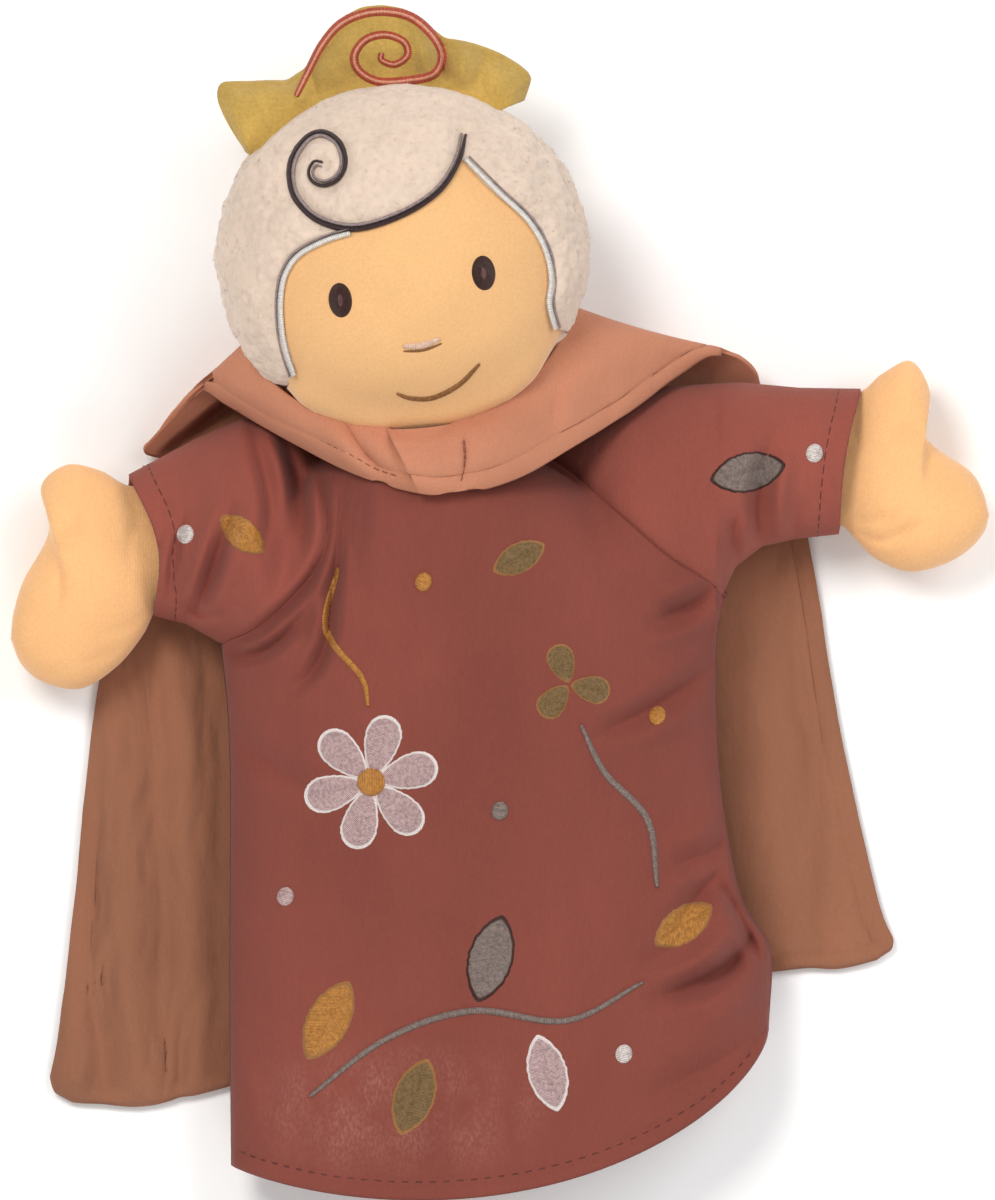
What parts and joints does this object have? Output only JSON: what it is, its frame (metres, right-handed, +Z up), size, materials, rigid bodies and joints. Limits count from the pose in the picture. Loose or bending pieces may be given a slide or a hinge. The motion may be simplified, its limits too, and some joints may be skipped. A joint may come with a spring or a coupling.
{
  "type": "hand puppet",
  "caption": "Glove puppet of a queen: stuffed round head with a crown, mitten hands, embroidered tunic open at the hem for a hand, and a cape with a soft collar",
  "frame": {"origin": "under the middle of the puppet's overall box, on the surface that it lies on", "axes": "+Y from the hem to the crown, +X across the arms, to the right for someone who faces the puppet, and +Z up out of its chest"},
  "size_m": [0.2056, 0.2522, 0.0659],
  "materials": {
    "skin_jersey": "matte brushed jersey",
    "plush": "short curly plush pile",
    "crown_velour": "matte velour",
    "tunic_cotton": "matte woven cotton",
    "cape_cotton": "matte crinkled cotton",
    "fibre_fill": "soft white fibre filling",
    "card": "plain card",
    "dark_thread": "satin stitch",
    "brown_thread": "satin stitch",
    "red_thread": "satin stitch",
    "white_thread": "satin stitch",
    "pink_thread": "satin stitch",
    "lilac_thread": "satin stitch",
    "olive_thread": "satin stitch",
    "ochre_thread": "satin stitch",
    "grey_thread": "satin stitch"
  },
  "bodies": {
    "root": {"head_stuffing": "fibre_fill", "face": "skin_jersey", "hair_front": "plush", "hair_back": "plush", "finger_tube": "card", "neck": "skin_jersey", "crown_front": "crown_velour", "crown_back": "crown_velour", "crown_spiral": "red_thread", "hair_curl": "brown_thread", "hair_piping_left": "white_thread", "hair_piping_right": "white_thread", "eye_left": "dark_thread", "eye_right": "dark_thread", "nose": "pink_thread", "mouth": "red_thread", "tunic_front": "tunic_cotton", "tunic_back": "tunic_cotton", "sleeve_left": "tunic_cotton", "sleeve_right": "tunic_cotton", "hand_left": "skin_jersey", "hand_right": "skin_jersey", "cape_collar": "cape_cotton", "cape_panel": "cape_cotton", "stem_ochre": "ochre_thread", "stem_grey": "grey_thread", "stem_brown": "grey_thread", "flower_lilac": "lilac_thread", "flower_lilac_heart": "ochre_thread", "bud_olive": "olive_thread", "leaf_ochre": "ochre_thread", "leaf_olive": "olive_thread", "leaf_grey": "grey_thread", "leaf_lilac": "lilac_thread", "leaf_side": "ochre_thread", "leaf_chest": "olive_thread", "leaf_sleeve_right": "grey_thread", "leaf_sleeve_left": "ochre_thread", "dot_left_cuff": "white_thread", "dot_right_cuff": "white_thread", "dot_chest": "ochre_thread", "dot_waist": "grey_thread", "dot_side": "ochre_thread", "dot_hem": "white_thread", "dot_left": "lilac_thread"}
  },
  "joints": []
}
